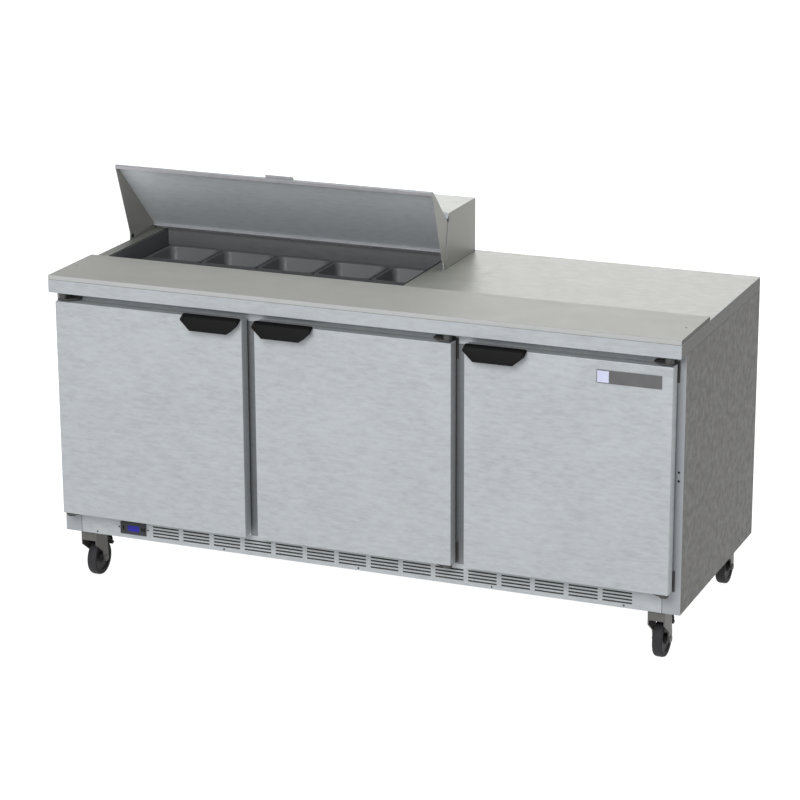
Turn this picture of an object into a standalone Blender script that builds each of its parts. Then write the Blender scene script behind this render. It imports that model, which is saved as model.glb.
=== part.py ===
"""Three-door refrigerated sandwich prep table with ten food pans and a hinged lid.

Everything is laid out in the cabinet's own coordinates: X from its left side, Y from the front
of the doors to the back, Z up from the floor. The root empty moves that layout so that the
part's origin is the middle of its footprint on the floor.
"""

import itertools
import math

import bmesh
import bpy
from mathutils import Matrix, Vector

# Driving dimensions, in metres
WIDTH = 1.8288
DEPTH = 0.746
GAP = 0.0003
SHEET = 0.0015
FRONT_MOST = -0.028
REAR_MOST = 0.7638

# Cabinet shell
SHELL_FRONT = 0.050
SHELL_BOTTOM = 0.147
SHELL_TOP = 0.8607
SIDE_THICKNESS = 0.050
INNER_LEFT = SIDE_THICKNESS + GAP
INNER_RIGHT = WIDTH - INNER_LEFT
BACK_FRONT = 0.706
FRAME_BACK = 0.090
FRAME_BOTTOM = 0.2058
OPENING_BOTTOM = 0.2505
OPENING_TOP = 0.806
OPENINGS = ((0.060, 0.5614), (0.6590, 1.1699), (1.2675, 1.7688))
KICK_TOP = 0.2055

# Worktop, cutting board and the well under the pans
TOP_BOTTOM = 0.861
TOP_SURFACE = 0.900
LEDGE_TOP = 0.8975
BOARD_DEPTH = 0.254
BOARD_BOTTOM = 0.898
BOARD_TOP = 0.9107
WELL_X = (0.040, 0.941)
WELL_Y = (0.292, 0.6584)
RIM_TOP = 0.850
RAIL_SURFACE = 0.848
BAR_MIDDLE = 0.476

# Food pans: two rows of five, sixth-size
PAN_COUNT = 5
PAN_FIRST_X = 0.1333
PAN_PITCH = 0.1786
PAN_ROWS = (("back", 0.5764), ("front", 0.3755))
PAN_DEPTH = 0.100

# Doors, each hinged on the side named
DOOR_WIDTH = 0.571
DOOR_THICKNESS = 0.038
DOOR_BOTTOM = 0.2165
DOOR_TOP = 0.8375
DOORS = ((1, 0.0204, "left"), (2, 0.6289, "right"), (3, 1.2374, "right"))
HINGE_INSET = 0.016
HINGE_Y = 0.019
PIN_HOLE_RADIUS = 0.0053
PIN_HOLE_DEPTH = 0.014

# Shelves
SHELF_X = ((0.0525, 0.6080), (0.6120, 1.2165), (1.2205, 1.7765))
SHELF_Y = (0.0925, 0.7035)
SHELF_Z = (0.5155, 0.5215)
TAB_Z = (0.505, 0.515)
TAB_MIDDLES = (0.61015, 1.21865)

# Hood and hinged lid
HOOD_WIDTH = 0.987
HOOD_TOP = 1.056
HOOD_BACK = 0.7365
PIVOT_Y = 0.4985
PIVOT_Z = 0.911
PIVOT_HOLE = 0.0034
LID_OPEN_DEGREES = 70.0

# Casters
STEM_INSET = 0.067
STEM_FRONT_Y = 0.085
STEM_REAR_Y = 0.683
TRAIL = 0.030
WHEEL_RADIUS = 0.0508

SMOOTH_ANGLE = math.radians(35)
ROUND_SEGMENTS = 24
ORIGINS = {"prep_table": Vector((0, 0, 0))}


def clear_scene():
    for old in list(bpy.data.objects):
        bpy.data.objects.remove(old)


def material(name, colour, metallic, roughness):
    made = bpy.data.materials.new(name)
    made.use_nodes = True
    shader = made.node_tree.nodes["Principled BSDF"]
    shader.inputs["Base Color"].default_value = (*colour, 1)
    shader.inputs["Metallic"].default_value = metallic
    shader.inputs["Roughness"].default_value = roughness
    return made


def placed(axis, first, second, along):
    """A point from two cross coordinates and a distance along the axis."""
    if axis == "X":
        return (along, first, second)
    if axis == "Y":
        return (first, along, second)
    return (first, second, along)


def closed_mesh(points, faces):
    """A mesh whose faces all point outwards."""
    mesh = bpy.data.meshes.new("shape")
    mesh.from_pydata(points, [], faces)
    shape = bmesh.new()
    shape.from_mesh(mesh)
    bmesh.ops.recalc_face_normals(shape, faces=shape.faces)
    shape.to_mesh(mesh)
    shape.free()
    return mesh


def holds(box, point):
    return all(low < value < high for (low, high), value in zip(box, point))


def block_solid(blocks, voids=()):
    """Boxes that overlap or meet face to face as one closed mesh, less the boxes in voids."""
    boxes = (*blocks, *voids)
    lines = [sorted({round(edge, 7) for box in boxes for edge in box[axis]}) for axis in range(3)]
    filled = set()
    for cell in itertools.product(*(range(len(line) - 1) for line in lines)):
        middle = [(line[n] + line[n + 1]) / 2 for line, n in zip(lines, cell)]
        if any(holds(box, middle) for box in blocks) and not any(holds(box, middle) for box in voids):
            filled.add(cell)
    corners = {}
    faces = []
    for cell in sorted(filled):
        for axis, side in itertools.product(range(3), (0, 1)):
            neighbour = list(cell)
            neighbour[axis] += 2 * side - 1
            if tuple(neighbour) in filled:
                continue
            face = []
            for across, up in ((0, 0), (1, 0), (1, 1), (0, 1)):
                corner = list(cell)
                corner[axis] += side
                corner[(axis + 1) % 3] += across
                corner[(axis + 2) % 3] += up
                face.append(corners.setdefault(tuple(corner), len(corners)))
            faces.append(face if side else face[::-1])
    points = [tuple(line[n] for line, n in zip(lines, corner)) for corner in corners]
    return closed_mesh(points, faces)


def bevelled(mesh, width, segments=2):
    """The mesh with every sharp edge rounded."""
    shape = bmesh.new()
    shape.from_mesh(mesh)
    sharp = [edge for edge in shape.edges if edge.calc_face_angle(0) > SMOOTH_ANGLE]
    bmesh.ops.bevel(shape, geom=sharp, offset=width, segments=segments, profile=0.5, affect="EDGES")
    shape.to_mesh(mesh)
    shape.free()
    return mesh


def prism(outline, axis, low, high):
    """A flat outline pushed along an axis."""
    count = len(outline)
    points = [placed(axis, *point, along) for along in (low, high) for point in outline]
    sides = [(n, (n + 1) % count, (n + 1) % count + count, n + count) for n in range(count)]
    caps = [tuple(range(count)), tuple(range(count, 2 * count))]
    return closed_mesh(points, sides + caps)


def sheet_outline(path, thickness):
    """The outline of folded sheet: the path, and back along its mitred offset to the right."""
    path = [Vector(point) for point in path]
    normals = []
    for start, end in zip(path, path[1:]):
        run = (end - start).normalized()
        normals.append(Vector((run.y, -run.x)))
    inner = [path[0] + normals[0] * thickness]
    for corner, before, after in zip(path[1:], normals, normals[1:]):
        mitre = (before + after).normalized()
        inner.append(corner + mitre * thickness / mitre.dot(before))
    inner.append(path[-1] + normals[-1] * thickness)
    return [tuple(point) for point in path + inner[::-1]]


def lathe(profile, centre, axis, segments=ROUND_SEGMENTS):
    """A profile of (radius, along) pairs turned about an axis: a ring unless it ends on the axis."""
    points = []
    rings = []
    for radius, along in profile:
        if radius == 0:
            rings.append([len(points)] * segments)
            points.append(placed(axis, *centre, along))
            continue
        rings.append([len(points) + n for n in range(segments)])
        for n in range(segments):
            angle = math.tau * n / segments
            first = centre[0] + radius * math.cos(angle)
            second = centre[1] + radius * math.sin(angle)
            points.append(placed(axis, first, second, along))
    pairs = list(zip(rings, rings[1:]))
    if profile[0][0] > 0:
        pairs.append((rings[-1], rings[0]))
    faces = []
    for one, two in pairs:
        for n in range(segments):
            after = (n + 1) % segments
            corners = (one[n], one[after], two[after], two[n])
            faces.append(tuple(dict.fromkeys(corners)))
    return closed_mesh(points, faces)


def cylinder(radius, centre, axis, low, high, segments=ROUND_SEGMENTS):
    return lathe([(0, low), (radius, low), (radius, high), (0, high)], centre, axis, segments)


def combined(base, tools, operation="UNION"):
    """The base mesh joined with each tool mesh, or cut by it."""
    body = bpy.data.objects.new("body", base)
    bpy.context.scene.collection.objects.link(body)
    helpers = [bpy.data.objects.new("tool", tool) for tool in tools]
    for helper in helpers:
        bpy.context.scene.collection.objects.link(helper)
        modifier = body.modifiers.new("combine", "BOOLEAN")
        modifier.operation = operation
        modifier.solver = "EXACT"
        modifier.object = helper
    graph = bpy.context.evaluated_depsgraph_get()
    result = bpy.data.meshes.new_from_object(body.evaluated_get(graph))
    for temporary in (body, *helpers):
        bpy.data.objects.remove(temporary)
    return result


def hull(points):
    """The smallest convex solid around the points."""
    shape = bmesh.new()
    for point in points:
        shape.verts.new(point)
    bmesh.ops.convex_hull(shape, input=shape.verts)
    mesh = bpy.data.meshes.new("shape")
    shape.to_mesh(mesh)
    shape.free()
    return mesh


def moved(mesh, matrix):
    mesh.transform(matrix)
    return mesh


def attach(thing, origin, parent):
    """Hangs an object at its origin, given in cabinet coordinates, from its parent."""
    ORIGINS[thing.name] = Vector(origin)
    thing.parent = bpy.data.objects[parent]
    thing.location = Vector(origin) - ORIGINS[parent]


def make(name, shape, look, origin=(0, 0, 0), parent="prep_table", smooth=False):
    """One piece of the table, with its origin where the piece turns or slides."""
    shape.transform(Matrix.Translation(-Vector(origin)))
    shape.materials.clear()
    shape.materials.append(look)
    if smooth:
        shape.shade_smooth()
        shape.set_sharp_from_angle(angle=SMOOTH_ANGLE)
    piece = bpy.data.objects.new(name, shape)
    bpy.context.scene.collection.objects.link(piece)
    attach(piece, origin, parent)


def make_empty(name, origin, parent):
    empty = bpy.data.objects.new(name, None)
    bpy.context.scene.collection.objects.link(empty)
    if parent:
        attach(empty, origin, parent)
    else:
        empty.location = origin
    return empty


def mirrored(box):
    """The same box on the right half of the cabinet."""
    (low, high), depth, height = box
    return ((WIDTH - high, WIDTH - low), depth, height)


def shelf_tabs(y_range):
    """Four rests for the ends of the shelves, on a panel face."""
    end_length = 0.085
    half_length = 0.060
    end = ((INNER_LEFT, end_length), y_range, TAB_Z)
    middles = [((x - half_length, x + half_length), y_range, TAB_Z) for x in TAB_MIDDLES]
    return [end, *middles, mirrored(end)]


def build_shell(steel, inner_steel):
    side = ((0, SIDE_THICKNESS), (SHELL_FRONT, DEPTH), (SHELL_BOTTOM, SHELL_TOP))
    frame_seat = ((0.0277, 0.051), (0.2797, 0.6707), (0.8377, 0.862))
    make("side_panel_left", block_solid([side], [frame_seat]), steel)
    make("side_panel_right", block_solid([mirrored(side)]), steel)

    across = (INNER_LEFT, INNER_RIGHT)
    back = (across, (BACK_FRONT, DEPTH), (SHELL_BOTTOM, SHELL_TOP))
    tab_depth = 0.016
    make("back_panel", block_solid([back, *shelf_tabs((BACK_FRONT - tab_depth, BACK_FRONT))]), inner_steel)

    post_front = (across, (SHELL_FRONT, FRAME_BACK), (FRAME_BOTTOM, SHELL_TOP))
    holes = [(x_range, (0.04, 0.095), (OPENING_BOTTOM, OPENING_TOP)) for x_range in OPENINGS]
    tabs = shelf_tabs((FRAME_BACK, 0.112))
    make("face_frame", block_solid([post_front, *tabs], holes), steel)


def build_base(inner_steel):
    """The insulated floor with its raised step over the machine space, and the runners under it."""
    across = (INNER_LEFT, INNER_RIGHT)
    inner_back = BACK_FRONT - GAP
    runner_width = 0.105
    runner = ((INNER_LEFT, runner_width), (0.0525, inner_back), (SHELL_BOTTOM, KICK_TOP))
    blocks = [
        (across, (FRAME_BACK + GAP, 0.480), (0.2050, 0.247)),
        (across, (0.445, 0.480), (0.2050, 0.465)),
        (across, (0.445, inner_back), (0.430, 0.465)),
        (across, (0.500, inner_back), (SHELL_BOTTOM, 0.155)),
        runner,
        mirrored(runner),
    ]
    stem_hole = 0.0085
    hole_top = 0.190
    holes = [
        cylinder(stem_hole, (x, y), "Z", SHELL_BOTTOM - 0.01, hole_top)
        for x in (STEM_INSET, WIDTH - STEM_INSET)
        for y in (STEM_FRONT_Y, STEM_REAR_Y)
    ]
    make("base", combined(block_solid(blocks), holes, "DIFFERENCE"), inner_steel)


def build_top(steel, inner_steel, board_white):
    slab = ((0, WIDTH), (BOARD_DEPTH + 0.0005, DEPTH), (TOP_BOTTOM, TOP_SURFACE))
    ledge = ((0, WIDTH), (0, BOARD_DEPTH + 0.0005), (TOP_BOTTOM, LEDGE_TOP))
    well = (WELL_X, WELL_Y, (TOP_BOTTOM - 0.01, TOP_SURFACE + 0.01))
    make("worktop", bevelled(block_solid([slab, ledge], [well]), 0.0008, 1), steel)

    frame = ((0.028, 0.953), (0.280, 0.6704), (0.838, SHELL_TOP))
    rim_space = ((0.0405, 0.9405), (0.2925, 0.6579), (RAIL_SURFACE, 0.87))
    body_space = ((0.050, 0.931), (0.302, 0.6495), (0.83, 0.87))
    make("pan_frame", block_solid([frame], [rim_space, body_space]), inner_steel)

    bar_x = (0.0505, 0.9305)
    shoulder_half = 0.0245
    rib_half = 0.0185
    shoulder = (BAR_MIDDLE - shoulder_half, BAR_MIDDLE + shoulder_half)
    rib = (BAR_MIDDLE - rib_half, BAR_MIDDLE + rib_half)
    bar = [
        (bar_x, shoulder, (0.839, RAIL_SURFACE)),
        (bar_x, rib, (0.839, RIM_TOP)),
        ((0.0408, 0.9402), rib, (RAIL_SURFACE + GAP, RIM_TOP)),
    ]
    make("pan_bar", block_solid(bar), inner_steel)

    board = block_solid([((0, WIDTH), (0, BOARD_DEPTH), (BOARD_BOTTOM, BOARD_TOP))])
    hook_radius = 0.004
    hooks = [
        cylinder(hook_radius, (x, 0.126), "Z", BOARD_BOTTOM - 0.01, BOARD_TOP + 0.01, 16)
        for x in (0.0229, WIDTH - 0.026)
    ]
    board = combined(bevelled(board, 0.0015), hooks, "DIFFERENCE")
    make("cutting_board", board, board_white, origin=(WIDTH / 2, BOARD_DEPTH / 2, BOARD_BOTTOM))


def build_kick(steel, dark_plastic):
    """The louvred kick panel under the doors, with the temperature controller set in it."""
    panel = ((INNER_LEFT, INNER_RIGHT), (SHELL_FRONT, SHELL_FRONT + SHEET), (SHELL_BOTTOM, KICK_TOP))
    through = (SHELL_FRONT - 0.01, SHELL_FRONT + 0.01)
    group_count = 15
    group_pitch = 0.0955
    group_half = 0.041
    slot_heights = [0.1762 + (n - 1.5) * 0.00945 for n in range(4)]
    slot_half = 0.0024
    voids = [((0.180, 0.2525), through, (0.1635, 0.1915))]
    for group, height in itertools.product(range(group_count), slot_heights):
        middle = 0.3181 + group * group_pitch
        x_range = (middle - group_half, middle + group_half)
        voids.append((x_range, through, (height - slot_half, height + slot_half)))
    make("kick_panel", block_solid([panel], voids), steel)

    bezel = ((0.176, 0.2565), (0.0465, SHELL_FRONT - GAP), (0.160, 0.195))
    case = ((0.1815, 0.2510), (SHELL_FRONT - GAP, 0.075), (0.165, 0.190))
    make("controller", block_solid([bezel, case]), dark_plastic)


def build_hood(steel):
    """Folded sheet over the back of the well, with an end plate each side that carries the lid."""
    front_low = (0.5185, 1.0408)
    front_high = (0.5309, HOOD_TOP)
    back_high = (HOOD_BACK, HOOD_TOP)
    back_low = (HOOD_BACK, TOP_SURFACE + GAP)
    cover = prism(sheet_outline([front_low, front_high, back_high, back_low], SHEET), "X", 0, HOOD_WIDTH)
    plate_low = TOP_SURFACE + GAP
    inset = 0.0008
    plate = [
        (0.4885, plate_low),
        (HOOD_BACK - inset, plate_low + 0.0002),
        (HOOD_BACK - inset, HOOD_TOP - inset),
        (0.5314, HOOD_TOP - inset),
        (0.5300, 1.0340),
        (0.5080, 0.9290),
        (0.4885, 0.9220),
    ]
    side = 0.0002
    left = prism(plate, "X", side, side + SHEET)
    right = prism(plate, "X", HOOD_WIDTH - side - SHEET, HOOD_WIDTH - side)
    shell = combined(cover, [left, right])
    pivot_hole = cylinder(PIVOT_HOLE, (PIVOT_Y, PIVOT_Z), "X", -0.01, HOOD_WIDTH + 0.01, 16)
    make("hood", combined(shell, [pivot_hole], "DIFFERENCE"), steel)


def build_lid(steel):
    """The lid, built closed about its pivot and then swung open against the hood's front edge."""
    make_empty("lid_axis", (0, PIVOT_Y, PIVOT_Z), "prep_table")
    about = Matrix.Translation((0, PIVOT_Y, PIVOT_Z))
    front_edge = (-0.2429, 0.0006)
    path = [(-0.2339, -0.0080), (-0.2429, -0.0080), front_edge, (0.0408, 0.1359), (0.0434, 0.1305)]
    panel = prism(sheet_outline(path, SHEET), "X", 0.0025, HOOD_WIDTH - 0.0025)
    flange = [
        (-0.2422, -0.0079),
        (0.0050, -0.0079),
        (0.0090, -0.0020),
        (0.0428, 0.1290),
        (0.0402, 0.1350),
        (-0.2422, 0.0002),
    ]
    flange_x = 0.0023
    flanges = [
        prism(flange, "X", flange_x, flange_x + SHEET),
        prism(flange, "X", HOOD_WIDTH - flange_x - SHEET, HOOD_WIDTH - flange_x),
    ]
    lid = combined(panel, flanges)
    pivot_hole = cylinder(PIVOT_HOLE, (0, 0), "X", -0.01, HOOD_WIDTH + 0.01, 16)
    lid = combined(lid, [pivot_hole], "DIFFERENCE")
    make("lid", moved(lid, about), steel, (0, PIVOT_Y, PIVOT_Z), "lid_axis")

    tab = [
        (-0.2304, 0.0069),
        (-0.2424, 0.0012),
        (-0.2500, 0.0012),
        (-0.2500, 0.0034),
        (-0.2424, 0.0034),
        (-0.2313, 0.0087),
    ]
    pull = prism(tab, "X", 0.476, 0.562)
    make("lid_pull", moved(pull, about), steel, (0, PIVOT_Y, PIVOT_Z), "lid_axis")

    pin = [(0, 0.0005), (0.003, 0.0005), (0.003, 0.0041), (0.0055, 0.0041), (0.0055, 0.0061), (0, 0.0061)]
    far_pin = [(radius, HOOD_WIDTH - along) for radius, along in pin]
    for side, profile in (("left", pin), ("right", far_pin)):
        shape = moved(lathe(profile, (0, 0), "X", 16), about)
        make(f"lid_pin_{side}", shape, steel, (0, PIVOT_Y, PIVOT_Z), "lid_axis", smooth=True)
    bpy.data.objects["lid_axis"].rotation_euler.x = math.radians(-LID_OPEN_DEGREES)


def rounded_ring(half_x, half_y, radius, height):
    """The points of a rectangle with rounded corners."""
    steps = 3
    ring = []
    for quarter, (side_x, side_y) in enumerate(((1, 1), (-1, 1), (-1, -1), (1, -1))):
        for step in range(steps + 1):
            angle = math.pi / 2 * (quarter + step / steps)
            x = side_x * (half_x - radius) + radius * math.cos(angle)
            y = side_y * (half_y - radius) + radius * math.sin(angle)
            ring.append((x, y, height))
    return ring


def pan_shape(middle_x, middle_y):
    """A drawn pan with a flat rim, one skin from the outside bottom round to the inside bottom."""
    bottom = RIM_TOP - PAN_DEPTH
    rings = [
        rounded_ring(0.0675, 0.0605, 0.014, bottom),
        rounded_ring(0.0735, 0.0665, 0.018, bottom + 0.006),
        rounded_ring(0.0795, 0.0725, 0.020, RIM_TOP - SHEET),
        rounded_ring(0.0880, 0.0810, 0.012, RIM_TOP - SHEET),
        rounded_ring(0.0880, 0.0810, 0.012, RIM_TOP),
        rounded_ring(0.0783, 0.0713, 0.0190, RIM_TOP),
        rounded_ring(0.0723, 0.0653, 0.0170, bottom + 0.0072),
        rounded_ring(0.0668, 0.0598, 0.0135, bottom + 0.0012),
    ]
    count = len(rings[0])
    points = [(x + middle_x, y + middle_y, z) for ring in rings for x, y, z in ring]
    faces = [tuple(range(count)), tuple(range(len(points) - count, len(points)))]
    for level in range(len(rings) - 1):
        for n in range(count):
            after = (n + 1) % count
            low = level * count
            faces.append((low + n, low + after, low + after + count, low + n + count))
    return closed_mesh(points, faces)


def build_pans(pan_steel):
    for (row, middle_y), number in itertools.product(PAN_ROWS, range(PAN_COUNT)):
        middle_x = PAN_FIRST_X + number * PAN_PITCH
        name = f"pan_{row}_{number + 1}"
        make(name, pan_shape(middle_x, middle_y), pan_steel, (middle_x, middle_y, RIM_TOP), smooth=True)


def handle_shape(middle):
    """A hooded pull: wide at the door's top edge, narrower below, hollow for the fingers."""
    outer = []
    inner = []
    for side in (-1, 1):
        outer += [
            (middle + side * 0.0875, -GAP, 0.8450),
            (middle + side * 0.0875, -0.0225, 0.8320),
            (middle + side * 0.0560, FRONT_MOST, 0.8025),
            (middle + side * 0.0560, -GAP, 0.8025),
        ]
        inner += [
            (middle + side * 0.0831, 0.0040, 0.8440),
            (middle + side * 0.0831, -0.0195, 0.8303),
            (middle + side * 0.0383, -0.0273, 0.7900),
            (middle + side * 0.0383, 0.0040, 0.7900),
        ]
    return combined(bevelled(hull(outer), 0.0010), [hull(inner)], "DIFFERENCE")


def build_doors(steel, rubber, black_plastic, badge):
    for number, left, hinged in DOORS:
        right = left + DOOR_WIDTH
        axis_x = left + HINGE_INSET if hinged == "left" else right - HINGE_INSET
        origin = (axis_x, HINGE_Y, DOOR_BOTTOM)
        leaf = bevelled(block_solid([((left, right), (0, DOOR_THICKNESS), (DOOR_BOTTOM, DOOR_TOP))]), 0.0015)
        pin_holes = [
            cylinder(PIN_HOLE_RADIUS, (axis_x, HINGE_Y), "Z", low, high, 16)
            for low, high in (
                (DOOR_TOP - PIN_HOLE_DEPTH, DOOR_TOP + 0.01),
                (DOOR_BOTTOM - 0.01, DOOR_BOTTOM + PIN_HOLE_DEPTH),
            )
        ]
        door = f"door_{number}"
        make(door, combined(leaf, pin_holes, "DIFFERENCE"), steel, origin)

        edge = 0.0165
        band = edge + 0.012
        depth = (DOOR_THICKNESS + GAP, SHELL_FRONT - GAP)
        outer = ((left + edge, right - edge), depth, (DOOR_BOTTOM + edge, DOOR_TOP - edge))
        inner = ((left + band, right - band), (0, 0.06), (DOOR_BOTTOM + band, DOOR_TOP - band))
        make(f"door_gasket_{number}", block_solid([outer], [inner]), rubber, origin, door)

        from_free_edge = 0.0885
        middle = right - from_free_edge if hinged == "left" else left + from_free_edge
        make(f"door_handle_{number}", handle_shape(middle), black_plastic, origin, door)
    plate = ((1.6035, 1.7793), (-0.0018, -GAP), (0.777, 0.812))
    make("badge_plate", block_solid([plate]), badge, origin, door)


def bracket_shape(axis_x, towards, edge, away):
    """A hinge arm on the cabinet front, with the pin that the door turns on.

    towards is +1 where the door lies to the right of its hinge, and away is +1 at the door's top.
    """
    plate = [(-0.010, 0.006), (0.018, 0.006), (0.044, 0.028), (0.044, 0.0497), (-0.010, 0.0497)]
    outline = [(axis_x + towards * x, y) for x, y in plate]
    arm = prism(outline, "Z", edge + away * 0.0025, edge + away * 0.0065)
    centre = (axis_x, HINGE_Y)
    boss_end = 0.0220 if away > 0 else 0.0115
    boss = cylinder(0.0125, centre, "Z", edge + away * 0.0045, edge + away * boss_end, 20)
    pin = cylinder(0.005, centre, "Z", edge - away * 0.0125, edge + away * 0.0050, 16)
    low, high = sorted((edge - away * 0.0525, edge + away * 0.0040))
    left, right = sorted((axis_x - towards * 0.020, axis_x - towards * 0.0009))
    leaf = block_solid([((left, right), (0.0463, 0.0495), (low, high))])
    return combined(arm, [boss, pin, leaf])


def build_brackets(dark_steel):
    for number, left, hinged in DOORS:
        towards = 1 if hinged == "left" else -1
        axis_x = left + HINGE_INSET if hinged == "left" else left + DOOR_WIDTH - HINGE_INSET
        for end, edge, away in (("top", DOOR_TOP, 1), ("bottom", DOOR_BOTTOM, -1)):
            shape = bracket_shape(axis_x, towards, edge, away)
            make(f"hinge_bracket_{end}_{number}", shape, dark_steel, (axis_x, HINGE_Y, edge))


def build_shelves(shelf_coat):
    slot_count = 8
    margin = 0.030
    slot_share = 0.6
    for number, (left, right) in enumerate(SHELF_X, 1):
        pitch = (right - left - 2 * margin) / slot_count
        voids = []
        for slot, depth in itertools.product(range(slot_count), ((0.120, 0.380), (0.415, 0.675))):
            start = left + margin + pitch * (slot + (1 - slot_share) / 2)
            voids.append(((start, start + pitch * slot_share), depth, (0.51, 0.53)))
        make(f"shelf_{number}", block_solid([((left, right), SHELF_Y, SHELF_Z)], voids), shelf_coat)


def fan_shape(centre_x, middle_y, centre_z, radius):
    """A hub with a blind bore and five pitched blades, turning about Y."""
    half = 0.0115
    hub_radius = 0.018
    bore = 0.0035
    bore_end = middle_y - 0.0015
    hub = [
        (0, middle_y - half),
        (hub_radius, middle_y - half),
        (hub_radius, middle_y + half),
        (bore, middle_y + half),
        (bore, bore_end),
        (0, bore_end),
    ]
    blade = [(0.012, -0.007), (radius, -0.021), (radius, 0.021), (0.012, 0.007)]
    blade_count = 5
    pitch = Matrix.Rotation(math.radians(28), 4, "X")
    middle = Matrix.Translation((centre_x, middle_y, centre_z))
    blades = []
    for n in range(blade_count):
        turn = Matrix.Rotation(math.tau * n / blade_count, 4, "Y")
        blades.append(moved(prism(blade, "Y", -0.001, 0.001), middle @ turn @ pitch))
    return combined(lathe(hub, (centre_x, centre_z), "Y", 20), blades)


def finned_block(x_range, y_range, z_range):
    """A coil block with upright grooves along its front, as a block and its voids."""
    count = 12
    pitch = (x_range[1] - x_range[0]) / count
    groove_depth = 0.006
    front = (y_range[0] - 0.01, y_range[0] + groove_depth)
    height = (z_range[0] + 0.012, z_range[1] - 0.012)
    grooves = []
    for n in range(count):
        start = x_range[0] + pitch * (n + 0.3)
        grooves.append(((start, start + pitch * 0.4), front, height))
    return (x_range, y_range, z_range), grooves


def build_machine(dark_steel, coil_metal):
    """The compressor and condenser in the rear space, and the evaporator under the worktop."""
    dome = [
        (0, 0.1553),
        (0.070, 0.1553),
        (0.070, 0.162),
        (0.061, 0.168),
        (0.064, 0.195),
        (0.064, 0.240),
        (0.058, 0.268),
        (0.040, 0.289),
        (0, 0.298),
    ]
    make("compressor", lathe(dome, (0.35, 0.60), "Z", 28), dark_steel, smooth=True)

    block, grooves = finned_block((0.55, 0.85), (0.500, 0.540), (0.1553, 0.360))
    condenser = [
        block,
        ((0.55, 0.85), (0.500, 0.650), (0.1553, 0.1583)),
        ((0.69, 0.71), (0.590, 0.610), (0.1583, 0.240)),
        ((0.675, 0.725), (0.5725, 0.620), (0.237, 0.287)),
    ]
    shaft = cylinder(0.003, (0.70, 0.262), "Y", 0.562, 0.580, 12)
    make("condenser_coil", combined(block_solid(condenser, grooves), [shaft]), coil_metal)
    fan = fan_shape(0.70, 0.5595, 0.262, 0.080)
    make("condenser_fan", fan, dark_steel, (0.70, 0.5595, 0.262))

    block, grooves = finned_block((0.75, 1.05), (0.560, 0.600), (0.555, 0.735))
    evaporator = [
        block,
        ((0.75, 1.05), (0.560, BACK_FRONT - GAP), (0.555, 0.560)),
        ((0.89, 0.91), (0.645, 0.665), (0.560, 0.630)),
        ((0.875, 0.925), (0.630, 0.680), (0.623, 0.673)),
    ]
    shaft = cylinder(0.003, (0.90, 0.648), "Y", 0.618, 0.635, 12)
    make("evaporator_coil", combined(block_solid(evaporator, grooves), [shaft]), coil_metal)
    fan = fan_shape(0.90, 0.6155, 0.648, 0.070)
    make("evaporator_fan", fan, dark_steel, (0.90, 0.6155, 0.648))


def fork_shape(x, y):
    """A swivel fork with its race and stem above, and the axle through its two cheeks."""
    cheek = [
        (-0.0275, 0.1430),
        (-0.0275, 0.1060),
        (0.0130, 0.0760),
        (0.0200, 0.0460),
        (0.0300, 0.0400),
        (0.0400, 0.0460),
        (0.0415, 0.0640),
        (0.0375, 0.1120),
        (0.0375, 0.1430),
    ]
    half_width = 0.0240
    slot_half = 0.0205
    slot_x = (x - slot_half, x + slot_half)
    outline = [(y + along, height) for along, height in cheek]
    fork = prism(outline, "X", x - half_width, x + half_width)
    wheel_space = (slot_x, (y - 0.0240, y + 0.06), (0.02, 0.1375))
    under_web = (slot_x, (y - 0.04, y - 0.0240), (0.02, 0.1190))
    fork = combined(fork, [block_solid([wheel_space, under_web])], "DIFFERENCE")
    race = [
        (0, 0.1400),
        (0.0215, 0.1400),
        (0.0235, 0.1435),
        (0.0265, 0.1440),
        (0.0265, 0.1467),
        (0.0080, 0.1467),
        (0.0080, 0.1850),
        (0, 0.1850),
    ]
    axle_end = 0.0260
    head_start = 0.0230
    centre = (y + TRAIL, WHEEL_RADIUS)
    axle = [
        (0, x - axle_end),
        (0.009, x - axle_end),
        (0.009, x - head_start),
        (0.006, x - head_start),
        (0.006, x + head_start),
        (0.009, x + head_start),
        (0.009, x + axle_end),
        (0, x + axle_end),
    ]
    return combined(fork, [lathe(race, (x, y), "Z"), lathe(axle, centre, "X", 16)])


def wheel_shape(x, y):
    bore = 0.0063
    half_profile = [
        (bore, 0.0165),
        (0.0150, 0.0165),
        (0.0170, 0.0100),
        (0.0360, 0.0100),
        (0.0380, 0.0138),
        (0.0470, 0.0138),
        (WHEEL_RADIUS, 0.0100),
    ]
    near = [(radius, x - along) for radius, along in half_profile]
    far = [(radius, x + along) for radius, along in reversed(half_profile)]
    return lathe(near + far, (y + TRAIL, WHEEL_RADIUS), "X", 32)


def pedal_shape(x, y):
    """A brake shell over the back of the wheel, hung from a cross boss and ending in a toe tab."""
    inner_radius = 0.0590
    outer_radius = 0.0625
    toe_radius = 0.0700
    steps = 8
    toe_angle = math.radians(22)
    top_angle = math.radians(96)
    angles = [toe_angle + (top_angle - toe_angle) * n / steps for n in range(steps + 1)]
    middle_y = y + TRAIL

    def on_circle(radius, angle):
        return (middle_y + radius * math.cos(angle), WHEEL_RADIUS + radius * math.sin(angle))

    arc = [on_circle(inner_radius, angle) for angle in angles]
    arc += [on_circle(outer_radius, angle) for angle in reversed(angles[1:])]
    arc += [on_circle(outer_radius, toe_angle + 0.06), on_circle(toe_radius, toe_angle + 0.05)]
    arc.append(on_circle(toe_radius, toe_angle))
    shell = prism(arc, "X", x - 0.015, x + 0.015)
    lug = block_solid([((x - 0.012, x + 0.012), (y + 0.0213, y + 0.0268), (0.1118, 0.1215))])
    boss = cylinder(0.0045, (y + 0.024, 0.121), "X", x - 0.0187, x + 0.0187, 16)
    return combined(shell, [lug, boss])


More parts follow.
